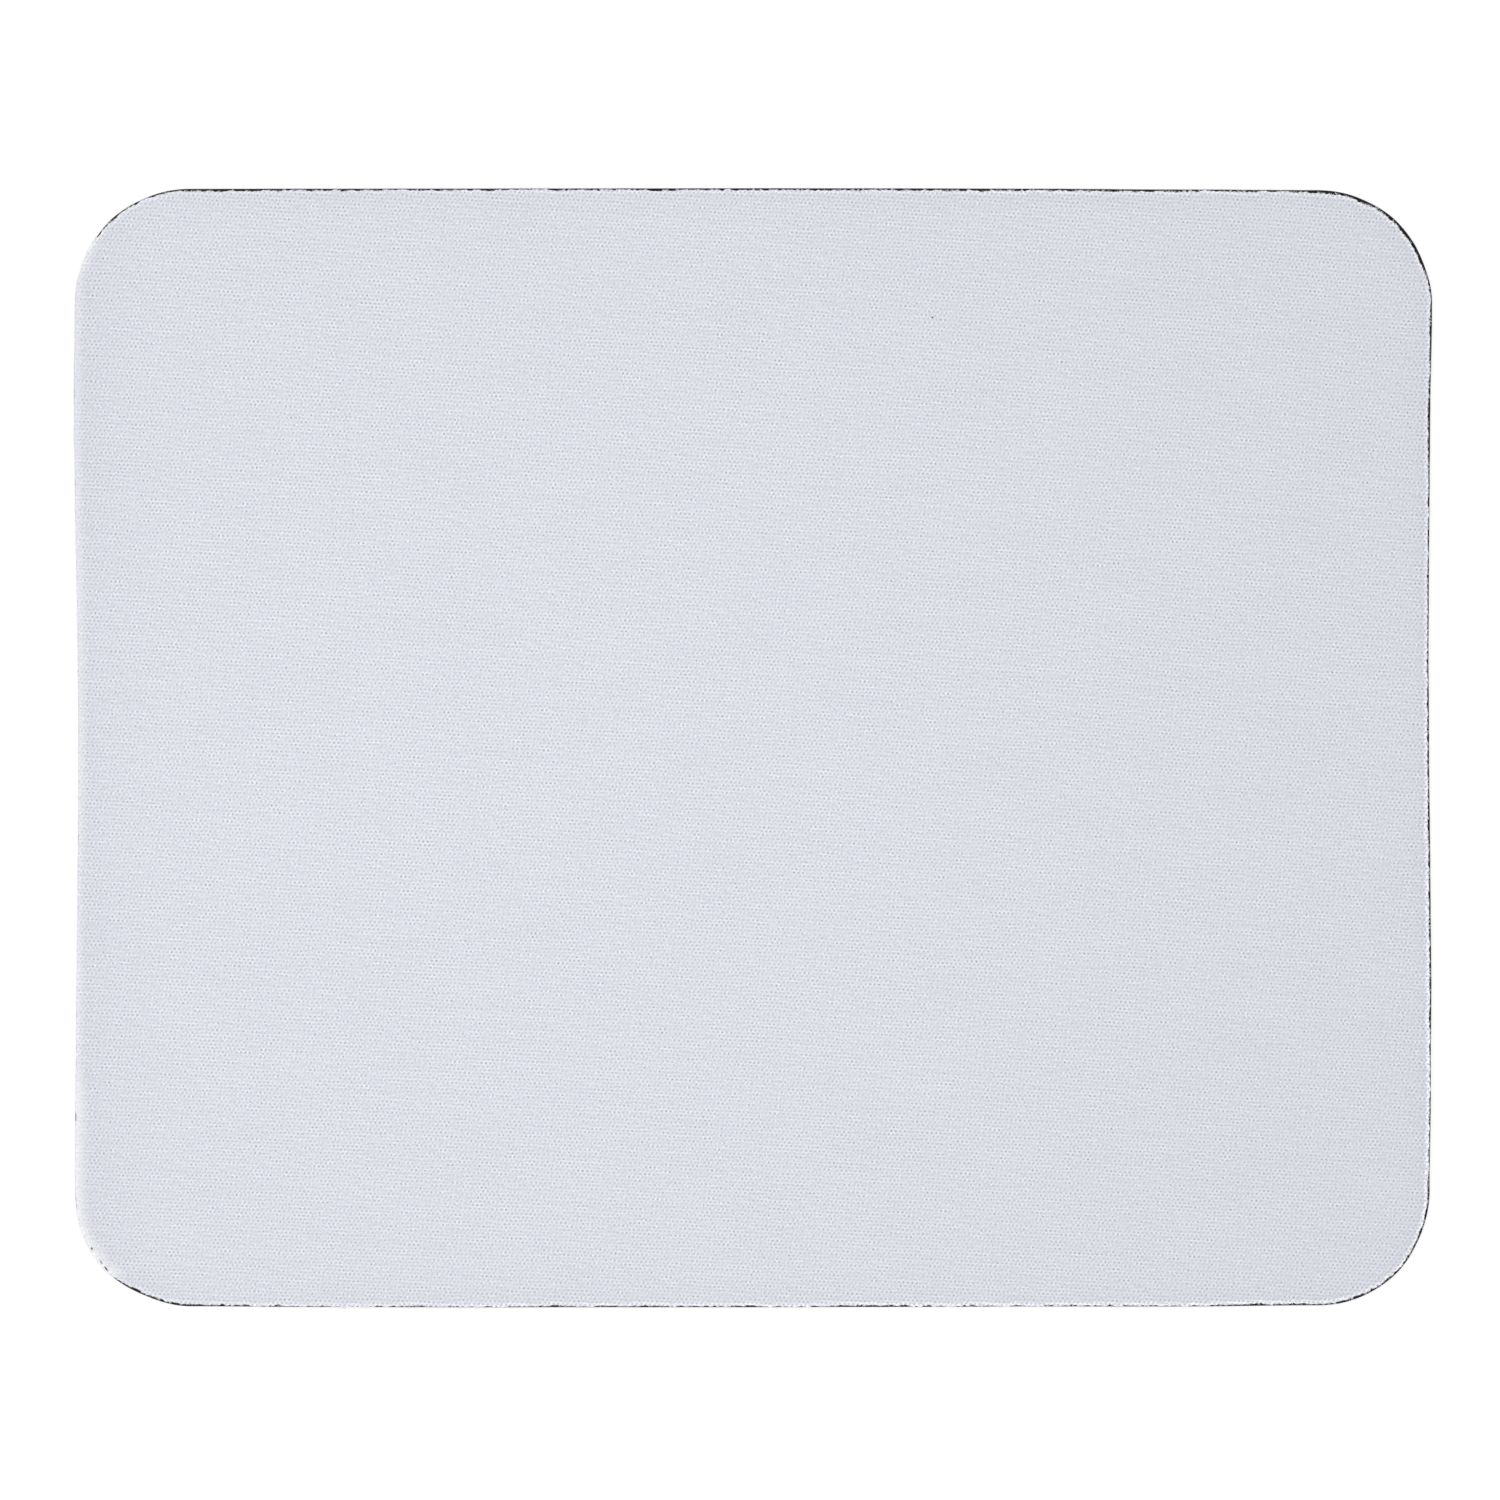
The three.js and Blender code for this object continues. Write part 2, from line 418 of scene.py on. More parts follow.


# Pale polyester jersey, with its pores closing towards the cut and its colour paling there from pale cut
# fibres and painted highlight on the rolled edge
def makeClothMaterial(finish):
    material, tree, output = newMaterial("paleJersey")
    place = placeInMm(tree)
    knit = useGroup(tree, knitGroup, {"Place": place})
    fibre = grainOf(tree, place, *finish["fibreGrain"])
    mottle = grainOf(tree, place, *finish["mottleGrain"])["Grain"]

    distance = storedNumber(tree, "cutDistance")
    leftness = storedNumber(tree, "leftSide")
    nearCut = fadeOf(tree, place, distance, *finish["edgeFade"])
    # A band of painted highlight along the rolled left edge
    reach, raggedness = finish["leftHighlightFade"]
    leftHighlightBand = fadeOf(tree, place, distance, multiply(tree, leftness, reach), raggedness)
    leftHighlightBand = multiply(tree, leftHighlightBand, multiply(tree, leftness, leftness))
    # Painted shade where the border droops, near the cut and more at the left end
    borderShade = fadeOf(tree, place, distance, *finish["borderShadeFade"])
    leftShade = remap(tree, separated(tree, place)["X"], *finish["leftShadeX"], 0.0, 1.0)

    # The cut face shows the ends of the yarns
    normal = addNode(tree, "ShaderNodeNewGeometry").outputs["True Normal"]
    cutFace = remap(tree, separated(tree, normal)["Z"], *finish["cutFace"], 1.0, 0.0)
    cutFibres = multiply(tree, grainOf(tree, place, *finish["cutGrain"])["Grain"], cutFace)

    # Broken filaments gather there in pale knots, and the rolled edge is given a painted highlight
    fibresAndHighlight = byWeights(tree, finish["fibresAndHighlight"], fibre["Grain"], knit["Relief"])
    fibresAndHighlight = multiply(tree, storedNumber(tree, "rimFibresAndHighlight"), calc(tree, "MAXIMUM", fibresAndHighlight, 0.0))

    closed = weighed(tree, 1.0, (calc(tree, "MAXIMUM", nearCut, leftHighlightBand), finish["closing"]))
    loops = weighed(tree, 0.0, (knit["Relief"], finish["relief"]), (knit["Pore"], finish["pores"]),
                    (knit["Leg"], finish["legs"]))
    change = weighed(
        tree, 0.0,
        (loops, multiply(tree, closed, weighed(tree, 1.0, (knit["Run"], finish["runs"])))),
        (knit["Yarns"], multiply(tree, closed, finish["yarns"])),
        (knit["Streak"], finish["streaks"]),
        (fibre["Grain"], finish["fibres"]),
        (mottle, finish["mottle"]),
        (knit["Bar"], finish["bars"]),
        (knit["Filament"], finish["filaments"]),
        (cutFibres, finish["cutFibres"]),
        (multiply(tree, nearCut, fibresAndHighlight), finish["edgeFibresAndHighlight"]),
        (borderShade, finish["borderShade"]),
        (leftShade, finish["leftShade"]))
    shade = scaled(tree, Vector(finish["color"]) * Vector(finish["shadeTint"]), change)
    # Painted highlight on the rolled left edge
    shade = vectorCalc(tree, "ADD", shade, scaled(tree, finish["leftHighlight"], leftHighlightBand))
    speckle = vectorCalc(tree, "SUBTRACT", fibre["Tint"], (0.5, 0.5, 0.5))
    speckled = vectorCalc(tree, "MULTIPLY_ADD", speckle, finish["speckle"], finish["color"])
    color = vectorCalc(tree, "ADD", shade, speckled)

    height = byWeights(tree, finish["height"], multiply(tree, knit["Relief"], closed), fibre["Grain"],
                       knit["Filament"], cutFibres)
    roughness = byWeights(tree, finish["roughness"], fibre["Grain"], knit["Relief"])
    shader = addSurface(tree, finish, color, roughness, height)
    tree.links.new(shader.outputs[0], output.inputs[0])
    return material


# Cut yarn ends: the same polyester, standing out of the cut
yarnFinish = {
    "color": (0.86, 0.87, 0.90),
    "grain": (0.07, 2.0, (1, 1, 2)),
    "shading": 0.3,
    "roughness": (0.82, 0.25),  # everywhere, and by the grain
    "bump": {"Strength": 0.5, "Distance": 0.05 * mm},
    "sockets": polyesterSockets,
}

# Milky melted film, seen only as a line in the cut edge
filmFinish = {
    "color": (0.75, 0.75, 0.72),
    "grain": (0.6, 3.0),
    "shading": 0.2,
    "roughness": (0.42, 0.3),
    "bump": {"Strength": 0.3, "Distance": 0.05 * mm},
    "sockets": {},
}


# Colour, gloss and bump follow one grain
def addGrainedSurface(tree, finish, place):
    grain = grainOf(tree, place, *finish["grain"])["Grain"]
    color = scaled(tree, finish["color"], weighed(tree, 1.0, (grain, finish["shading"])))
    return addSurface(tree, finish, color, byWeights(tree, finish["roughness"], grain), grain)


def makeGrainedMaterial(name, finish):
    material, tree, output = newMaterial(name)
    shader = addGrainedSurface(tree, finish, placeInMm(tree))
    tree.links.new(shader.outputs[0], output.inputs[0])
    return material


foamFinish = {
    "color": (0.010, 0.0078, 0.0084),
    "cellMm": 0.16,
    "speckGrain": (0.5, 4.0),
    "bloomGrain": (14.0, 3.0),
    # How many times lighter each feature makes the foam
    "specks": 0.9,
    "bloom": 0.5,
    "cells": -1.1,
    "cellMiddle": -0.4,
    "drag": -0.15,
    "dustAndGrooveShade": 1.8,  # how much paler the ribs are than the grooves: dust rubbed onto the ribs, and painted shade in the grooves
    "dustAndShadeEvenness": 0.5,
    "footPaleBand": (0.16, 0.15, 0.155),  # paler along the foot of the cut
    "dragFade": (0.8, 0.4),
    "footBandFade": (0.16, 0.12),
    "height": (0.0, 0.6, 0.5),  # everywhere, by the cells and by the specks
    "roughness": (0.82, 0.2, 0.12),  # everywhere, by the specks and by the bloom
    "bump": {"Strength": 0.5, "Distance": 0.08 * mm},
    "sockets": {"Specular IOR Level": 0.15},
}


# Black foam rubber: cut cells, a dusty bloom on the ribs with painted shade in the grooves, fine drag
# marks from the blade on the wall, and a paler band along the foot of the cut
def makeFoamMaterial(finish):
    material, tree, output = newMaterial("blackFoamRubber")
    place = placeInMm(tree)
    bubbles = addNode(tree, "ShaderNodeTexVoronoi", {"Vector": place, "Scale": 1 / finish["cellMm"]})
    cells = bubbles.outputs[0]
    specks = grainOf(tree, place, *finish["speckGrain"])["Grain"]
    bloom = grainOf(tree, place, *finish["bloomGrain"])["Grain"]
    drag = fadeOf(tree, place, storedNumber(tree, "cutDistance"), *finish["dragFade"])
    footPaleBand = fadeOf(tree, place, storedNumber(tree, "footDistance"), *finish["footBandFade"])
    # Paler on the ribs than in the grooves: dust on the ribs and painted shade in the grooves
    dustAndShadeMask = multiply(tree, storedNumber(tree, "ribDustGrooveShade"), calc(tree, "ADD", finish["dustAndShadeEvenness"], bloom))
    level = weighed(tree, 1.0, (specks, finish["specks"]), (bloom, finish["bloom"]),
                    (calc(tree, "ADD", cells, finish["cellMiddle"]), finish["cells"]),
                    (drag, finish["drag"]), (dustAndShadeMask, finish["dustAndGrooveShade"]))
    footPaled = scaled(tree, finish["footPaleBand"], footPaleBand)
    color = vectorCalc(tree, "ADD", scaled(tree, finish["color"], level), footPaled)
    height = byWeights(tree, finish["height"], cells, specks)
    roughness = byWeights(tree, finish["roughness"], specks, bloom)
    shader = addSurface(tree, finish, color, roughness, height)
    tree.links.new(shader.outputs[0], output.inputs[0])
    return material


floorFinish = {
    "color": (0.80, 0.80, 0.80),
    "glow": (0.55, 0.62),  # what the camera sees on top of the lit floor, beside the pad and far from it
    "glowMm": (150, 900),
    "grain": (3.0, 3.0),
    "shading": 0.01,
    "roughness": (0.9, 0.1),
    "bump": {"Strength": 0.02, "Distance": 0.1 * mm},
    "sockets": {"Specular IOR Level": 0.0, "Emission Color": (1, 1, 1, 1)},
}


# 1 for rays that only look, and 0 for rays that carry light to the object
def lookingRay(tree):
    path = addNode(tree, "ShaderNodeLightPath").outputs
    looks = calc(tree, "MAXIMUM", path["Is Camera Ray"], path["Is Glossy Ray"])
    return calc(tree, "MAXIMUM", looks, path["Is Transmission Ray"])


# White table: the part's shadow stays, and it is see-through from below
def makeFloorMaterial(finish):
    material, tree, output = newMaterial("whiteTable")
    place = placeInMm(tree)
    shader = addGrainedSurface(tree, finish, place)
    away = addNode(tree, "ShaderNodeVectorMath", {0: place}, operation="LENGTH").outputs["Value"]
    glow = remap(tree, away, *finish["glowMm"], *finish["glow"])
    feed(tree, shader.inputs["Emission Strength"], multiply(tree, glow, lookingRay(tree)))
    clear = addNode(tree, "ShaderNodeBsdfTransparent")
    below = addNode(tree, "ShaderNodeNewGeometry").outputs["Backfacing"]
    mixed = addNode(tree, "ShaderNodeMixShader", {0: below, 1: shader.outputs[0], 2: clear.outputs[0]})
    tree.links.new(mixed.outputs[0], output.inputs[0])
    return material


# A white room that lights the pad at the given strength and looks plain white
def addWorld(setup):
    world = bpy.data.worlds.new("softRoom")
    world.use_nodes = True
    tree = world.node_tree
    tree.nodes.clear()
    output = addNode(tree, "ShaderNodeOutputWorld")
    strength = remap(tree, lookingRay(tree), 0, 1, setup["worldStrength"], 1.0, "LINEAR")
    room = addNode(tree, "ShaderNodeBackground", {"Color": setup["worldColor"], "Strength": strength})
    tree.links.new(room.outputs[0], output.inputs[0])
    scene.world = world


addWorld(lightSetup)
materials = {
    "cloth": makeClothMaterial(clothFinish),
    "yarn": makeGrainedMaterial("cutYarn", yarnFinish),
    "film": makeGrainedMaterial("milkyFilm", filmFinish),
    "foam": makeFoamMaterial(foamFinish),
    "floor": makeFloorMaterial(floorFinish),
}
print("materials made")

# The outline and the layers, which all pieces share
padShape = {
    "length": 230 * mm,
    "width": 190 * mm,
    "cornerRadius": 19.5 * mm,
    "leftBow": 0.8 * mm,
    "rightBow": 0.45 * mm,
    "foamThickness": 2.4 * mm,
    "filmThickness": 0.1 * mm,
    "clothThickness": 0.5 * mm,
    "rollWidth": 1.6 * mm,
    "rollDrop": 0.35 * mm,
    "leftRoll": 0.7 * mm,  # how much wider the roll is on the left
    "step": 0.2 * mm,
    "sideParts": 8,
    "cornerParts": 4,
    "ragged": ((9 * mm, 0.16 * mm), (1.9 * mm, 0.22 * mm), (0.46 * mm, 0.22 * mm)),  # stretch and reach
    "raggedLeft": 0.7,  # how much less ragged the cut is on the left and on the right
    "raggedRight": 0.35,
    "coarseSpots": (12 * mm, 6 * mm),  # spacing and margin of the points inside hidden faces
}
halfLength = padShape["length"] / 2
halfWidth = padShape["width"] / 2
filmZ = padShape["foamThickness"]
clothZ = filmZ + padShape["filmThickness"]
topZ = clothZ + padShape["clothThickness"]
rollDrop = padShape["rollDrop"]

# Numbers round the cut, one row for each side from the right one anticlockwise: at every eighth of the
# side, then at every quarter of its corner
cutStrays = (  # how far the cut strays outwards from the plain shape, in mm
    (-0.12, 0.16, 0.40, 0.38, 0.25, 0.10, 0.06, 0.06, 0.31, 0.04, 0.05, -0.22),
    (-0.34, -0.23, -0.10, -0.04, -0.02, -0.05, -0.08, -0.10, -0.12, -0.10, 0.09, -0.06),
    (0.05, 0.32, 0.35, 0.27, 0.24, 0.23, 0.12, 0.02, -0.03, 0.11, 0.10, -0.27),
    (-0.07, 0.04, 0.10, 0.09, 0.08, 0.04, -0.05, -0.04, -0.23, -0.08, -0.01, -0.23),
)
rimWidths = (  # how far the dark foot stands out past the cut layers, in mm
    (0.40, 0.27, 0.41, 0.41, 0.40, 0.35, 0.34, 0.46, 0.40, 0.64, 0.62, 0.63),
    (0.52, 0.47, 0.48, 0.46, 0.38, 0.33, 0.30, 0.39, 0.54, 0.23, 0.39, 0.40),
    (-0.05, -0.05, -0.05, -0.05, -0.05, -0.05, -0.05, -0.05, -0.05, 0.16, 0.42, 0.34),
    (0.38, 0.15, 0.27, 0.31, 0.24, 0.33, 0.22, 0.23, 0.31, 0.51, 0.41, 0.49),
)
# How much the cloth brightens at its cut, from pale fibres and painted highlight on the rolled edge, where
# each side starts and ends and halfway round its corner
rimFibresAndHighlight = ((3.2, 1.8, 1.9), (1.8, 1.1, 1.4), (0.1, 0.5, 1.0), (1.6, 2.4, 2.4))


# Places and outward directions round the foot of the cut, anticlockwise from the right side, and the
# indices of the numbers above
def tracedOutline(shape):
    sides = [(halfLength, halfWidth, shape["rightBow"]), (halfWidth, halfLength, 0),
             (halfLength, halfWidth, shape["leftBow"]), (halfWidth, halfLength, 0)]
    radius = shape["cornerRadius"]
    points = []
    marks = []
    for index, (reach, halfRun, bow) in enumerate(sides):
        start = index * quarterTurn
        outward = Vector((round(math.cos(start)), round(math.sin(start))))
        onward = Vector((-outward.y, outward.x))
        half = halfRun - radius
        parts = shape["sideParts"]
        count = 2 * round(half / shape["step"])
        marks += [len(points) + round(count * part / parts) for part in range(parts + 1)]
        for i in range(count):
            share = 2 * i / count - 1
            drawnIn = bow * math.cos(share * quarterTurn) ** 2
            points.append((outward * (reach - drawnIn) + onward * share * half, outward.copy()))
        centre = outward * (reach - radius) + onward * half
        parts = shape["cornerParts"]
        count = 2 * round(radius * quarterTurn / shape["step"] / 2)
        marks += [len(points) + round(count * part / parts) for part in range(1, parts)]
        for i in range(count):
            angle = start + i / count * quarterTurn
            away = Vector((math.cos(angle), math.sin(angle)))
            points.append((centre + away * radius, away))
    return points, marks


outline, marks = tracedOutline(padShape)
count = len(outline)


# Eases the numbers of a table from mark to mark round the outline
def easedRound(table, marks):
    values = [value for row in table for value in row]
    eased = []
    for index in range(count):
        after = next((i for i, mark in enumerate(marks) if mark > index), len(marks))
        low = marks[after - 1]
        high = marks[after] if after < len(marks) else count
        blend = (1 - math.cos((index - low) / (high - low) * math.pi)) / 2
        eased.append(values[after - 1] * (1 - blend) + values[after % len(values)] * blend)
    return eased


# The marks at each side's start, its end and the middle of its corner
def threeMarks(sideParts, cornerParts):
    wanted = (0, sideParts, sideParts + cornerParts // 2)
    return [mark for i, mark in enumerate(marks) if i % (sideParts + cornerParts) in wanted]


strays = easedRound(cutStrays, marks)
outline = [(place + away * stray * mm, away) for (place, away), stray in zip(outline, strays)]
rimBrightening = easedRound(rimFibresAndHighlight, threeMarks(padShape["sideParts"], padShape["cornerParts"]))

# Where each side begins, from the pad's end or its middle, and over how far it fades
sideReach = {
    "left": (11 * mm, 3 * mm),
    "leftTop": (87.6 * mm, 2.3 * mm),
    "leftBottom": (91.0 * mm, 1.8 * mm),
    "right": (4 * mm, 3 * mm),
    # The band of painted highlight on the left is wider below one place, and narrower round another, by a
    # share
    "bandWider": (-54 * mm, 5 * mm, 0.3),
    "bandNarrower": (-24 * mm, 20 * mm, 0.18),
}


def clamped(value):
    return max(0, min(1, value))


# 1 at the left side, where the roll hides the dark foot and gets a wide band of painted highlight, and 0
# elsewhere
def leftSide(place):
    inset, fade = sideReach["left"]
    beyond = (-place.x - (halfLength - inset)) / fade
    top, topFade = sideReach["leftTop"]
    bottom, bottomFade = sideReach["leftBottom"]
    return clamped(beyond) * clamped((top - place.y) / topFade) * clamped((place.y + bottom) / bottomFade)


# 1 along the right side, where the cut is more even, and 0 elsewhere
def rightSide(place):
    inset, fade = sideReach["right"]
    return clamped((place.x - (halfLength - inset)) / fade)


# The left side, with more or less of it where its band of painted highlight is wider or narrower
def leftHighlightReach(place):
    start, fade, more = sideReach["bandWider"]
    wider = more * clamped((start - place.y) / fade)
    middle, spread, less = sideReach["bandNarrower"]
    narrower = less * clamped(1 - abs(place.y - middle) / spread)
    return leftSide(place) * (1 + wider - narrower)


rims = [(width - max(0, width) * leftSide(place)) * mm
        for (place, away), width in zip(outline, easedRound(rimWidths, marks))]
rollWidths = [padShape["rollWidth"] + padShape["leftRoll"] * leftSide(place) for place, away in outline]


def wobble(place, size, seed):
    return noise.noise(Vector((place.x / size, place.y / size, seed)))


# How far the frayed edge of cloth and film strays inwards at a place
def raggedAt(place):
    strayed = sum(reach * wobble(place, stretch, stretch / mm) for stretch, reach in padShape["ragged"])
    lessLeft = padShape["raggedLeft"] * leftSide(place)
    return strayed * (1 - lessLeft - padShape["raggedRight"] * rightSide(place))


raggedEdge = [raggedAt(place) for place, away in outline]


# The outline moved in by an inset for each point, at a height for each point
def insetRing(insets, heights):
    return [(*(place - away * inset), height)
            for (place, away), inset, height in zip(outline, insets, heights)]


# Rings down the rolled border of a face at height z, from where it is flat to its cut edge
def rolledRings(z, steps, draw=0, ragged=None, lift=None):
    rings = []
    for i in range(steps + 1):
        share = i / steps
        insets = [rim + roll * (1 - share) + draw * share for rim, roll in zip(rims, rollWidths)]
        heights = [z - rollDrop * share ** 2] * count
        if ragged:
            insets = [inset + stray * share ** 3 for inset, stray in zip(insets, ragged)]
        if lift:
            heights = [height + up * (1 - share) for height, up in zip(heights, lift)]
        rings.append(insetRing(insets, heights))
    return rings


# Spots on an even grid of triangles that lie well inside the outline
def innerSpots(spacing, margin):
    reachX = halfLength - margin
    reachY = halfWidth - margin
    radius = max(padShape["cornerRadius"] - margin, 1 * mm)
    rowSpacing = spacing * 0.866  # the height of an even triangle
    spots = []
    rows = int(reachY / rowSpacing)
    columns = int(reachX / spacing)
    for row in range(-rows, rows + 1):
        y = row * rowSpacing
        for column in range(-columns, columns + 1):
            x = (column + 0.5 * (row % 2)) * spacing
            overX = max(abs(x) - (reachX - radius), 0)
            overY = max(abs(y) - (reachY - radius), 0)
            if abs(x) <= reachX and math.hypot(overX, overY) <= radius:
                spots.append((x, y))
    return spots


hiddenSpots = innerSpots(*padShape["coarseSpots"])


# Fills a closed ring with triangles through the given spots, and returns the faces as indices
def filledRing(ring, spots):
    points = [Vector(point[:2]) for point in ring] + [Vector(spot) for spot in spots]
    edges = [(i, (i + 1) % len(ring)) for i in range(len(ring))]
    result = delaunay_2d_cdt(points, edges, [], 1, 1e-7)
    back = [sources[0] for sources in result[3]]
    return [tuple(back[i] for i in face) for face in result[2]]


# Faces between rings of points that follow each other
def bandFaces(rings, around, start=0):
    faces = []
    for ring in range(rings - 1):
        low = start + ring * around
        for i in range(around):
            j = (i + 1) % around
            faces.append((low + i, low + j, low + around + j, low + around + i))
    return faces


# The same as a closed tube, with both ends filled
def tubeFaces(rings, around, start):
    last = start + (rings - 1) * around
    ends = [tuple(reversed(range(start, start + around))), tuple(range(last, last + around))]
    return bandFaces(rings, around, start) + ends


def meshOf(name, points, faces):
    mesh = bpy.data.meshes.new(name)
    mesh.from_pydata(points, [], faces)
    return mesh


# A closed layer through rings from its lower inside to its upper inside, both ends filled
def layeredMesh(name, rings, lowerSpots, upperSpots, lowerHeight, upperHeight):
    points = [point for ring in rings for point in ring]
    faces = bandFaces(len(rings), count)
    lowerStart = len(points)
    points += [(x, y, lowerHeight(x, y)) for x, y in lowerSpots]
    upperStart = len(points)
    points += [(x, y, upperHeight(x, y)) for x, y in upperSpots]
    for face in filledRing(rings[0], lowerSpots):
        faces.append(tuple(i + (0 if i < count else lowerStart - count) for i in reversed(face)))
    lastRing = (len(rings) - 1) * count
    for face in filledRing(rings[-1], upperSpots):
        faces.append(tuple(i + (lastRing if i < count else upperStart - count) for i in face))
    return meshOf(name, points, faces)


# Smooth shading, with hard edges kept where faces meet at more than the angle, in degrees
def smoothShade(mesh, hardAngle):
    shaped = bmesh.new()
    shaped.from_mesh(mesh)
    bmesh.ops.recalc_face_normals(shaped, faces=shaped.faces)
    for face in shaped.faces:
        face.smooth = True
    for edge in shaped.edges:
        edge.smooth = len(edge.link_faces) == 2 and edge.calc_face_angle() < math.radians(hardAngle)
    shaped.to_mesh(mesh)
    shaped.free()


def addPiece(name, mesh, material):
    piece = bpy.data.objects.new(name, mesh)
    mesh.materials.append(material)
    scene.collection.objects.link(piece)
    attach(piece, "root")
    return piece


# Keeps a number for each point of the mesh, for its material to read
def storeNumbers(mesh, name, numbers):
    attribute = mesh.attributes.new(name, "FLOAT", "POINT")
    attribute.data.foreach_set("value", numbers)


# How far a place is inside the outline, in millimetres, near enough at the corners
def insideBy(x, y):
    radius = padShape["cornerRadius"]
    overX = abs(x) - (halfLength - radius)
    overY = abs(y) - (halfWidth - radius)
    over = math.hypot(overX, overY) if overX > 0 and overY > 0 else max(overX, overY)
    return max(0, (radius - over) / mm)


foamSetup = {
    "wallHollow": 0.22 * mm,
    "wallRings": 6,
    "rollSteps": 4,
    "ribPitch": 7 * mm,
    "grooveWidth": 2.6 * mm,
    "grooveDepth": 0.3 * mm,
    "waveLength": 40 * mm,
    "waveHeight": 5 * mm,
    "alongStep": 2.5 * mm,
    "profile": (-1.0, -0.72, -0.38, 0.0, 0.38, 0.72, 1.0, 1.35, 1.7),  # in half widths of a groove
    "spotMargin": 1.1,  # in mm
    "hardAngle": 42,
    "beyondFootBand": 9.0,  # mm from the foot, too far for the paler band
}


# How far a groove has swung aside at a distance along the pad
def grooveSwing(x, setup):
    return setup["waveHeight"] / 2 * math.sin(x / setup["waveLength"] * fullTurn)


# How high the underside stands off the desk at a place: zero on the ribs, rounded up in the grooves
def reliefHeight(x, y, setup):
    pitch = setup["ribPitch"]
    across = (y - grooveSwing(x, setup)) / pitch - 0.5
    off = abs(across - round(across)) * pitch / (setup["grooveWidth"] / 2)
    if off >= 1:
        return 0
    return setup["grooveDepth"] * (1 + math.cos(off * math.pi)) / 2


# Spots under the base that run along the waves, so that the grooves are smooth
def grooveSpots(setup):
    spots = []
    rows = math.ceil(padShape["width"] / setup["ribPitch"] / 2) + 1
    steps = int(halfLength / setup["alongStep"])
    for i in range(-steps, steps + 1):
        x = i * setup["alongStep"]
        for row in range(-rows, rows):
            middle = (row + 0.5) * setup["ribPitch"] + grooveSwing(x, setup)
            for share in setup["profile"]:
                y = middle + share * setup["grooveWidth"] / 2
                if insideBy(x, y) > setup["spotMargin"]:
                    spots.append((x, y))
    return spots


def makeFoamBase(setup):
    edgeHeight = filmZ - rollDrop
    footHeights = [reliefHeight(place.x, place.y, setup) for place, away in outline]
    rings = []
    for i in range(setup["wallRings"] + 1):
        share = i / setup["wallRings"]
        hollow = setup["wallHollow"] * 4 * share * (1 - share)
        insets = [rim * (1 - (1 - share) ** 2) + hollow for rim in rims]
        rings.append(insetRing(insets, [foot * (1 - share) + edgeHeight * share for foot in footHeights]))
    rings += rolledRings(filmZ, setup["rollSteps"])[-2::-1]
    mesh = layeredMesh("foamBase", rings, grooveSpots(setup), hiddenSpots,
                       lambda x, y: reliefHeight(x, y, setup), lambda x, y: filmZ)
    smoothShade(mesh, setup["hardAngle"])
    storeNumbers(mesh, "cutDistance", [insideBy(v.co.x, v.co.y) for v in mesh.vertices])
    fromFoot = [math.dist(point[:2], foot[:2]) / mm
                for ring in rings for point, foot in zip(ring, rings[0])]
    fromFoot += [setup["beyondFootBand"]] * (len(mesh.vertices) - len(fromFoot))
    storeNumbers(mesh, "footDistance", fromFoot)
    depth = setup["grooveDepth"]
    # 1 on the ribs, falling to 0 at the bottom of the grooves: dust on the ribs and painted shade in the
    # grooves
    storeNumbers(mesh, "ribDustGrooveShade", [1 - v.co.z / depth if v.co.z <= depth else 0.0 for v in mesh.vertices])
    piece = addPiece("foamBase", mesh, materials["foam"])
    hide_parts("foam_base")
    return piece


foamBase = makeFoamBase(foamSetup)
print("foam base built:", len(foamBase.data.polygons), "faces")

filmSetup = {
    "rollSteps": 3,
    "shrink": 0.06 * mm,  # the film's cut edge has drawn back under the cloth
    "hardAngle": 42,
}


def makeBondingFilm(setup, ragged):
    drawnBack = [stray + setup["shrink"] for stray in ragged]
    lower = rolledRings(filmZ, setup["rollSteps"], ragged=drawnBack)
    upper = rolledRings(clothZ, setup["rollSteps"], ragged=drawnBack)
    mesh = layeredMesh("bondingFilm", lower + upper[::-1], hiddenSpots, hiddenSpots,
                       lambda x, y: filmZ, lambda x, y: clothZ)
    smoothShade(mesh, setup["hardAngle"])
    piece = addPiece("bondingFilm", mesh, materials["film"])
    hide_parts("bonding_film")
    return piece


bondingFilm = makeBondingFilm(filmSetup, raggedEdge)
print("bonding film built:", len(bondingFilm.data.polygons), "faces")

clothSetup = {
    "draw": 0.08 * mm,
    "cutFace": ((0.25, -0.02 * mm), (0.55, -0.02 * mm), (0.80, 0.02 * mm)),  # height share and inset
    "rollSteps": 7,
    "lowerSteps": 3,
    "spots": (4.5 * mm, 9.5 * mm),  # spacing and margin
    "easeIn": ((3.2 * mm, 3), (4.4 * mm, 6), (6.6 * mm, 12)),  # inset, and how few of the outline's points
    "undulation": 0.03 * mm,
    "undulationStretch": 26 * mm,
    "undulationSeed": 4.1,
    "calmBorder": (2, 8),  # how far in it starts, and over how many mm it grows
    "hardAngle": 40,
}


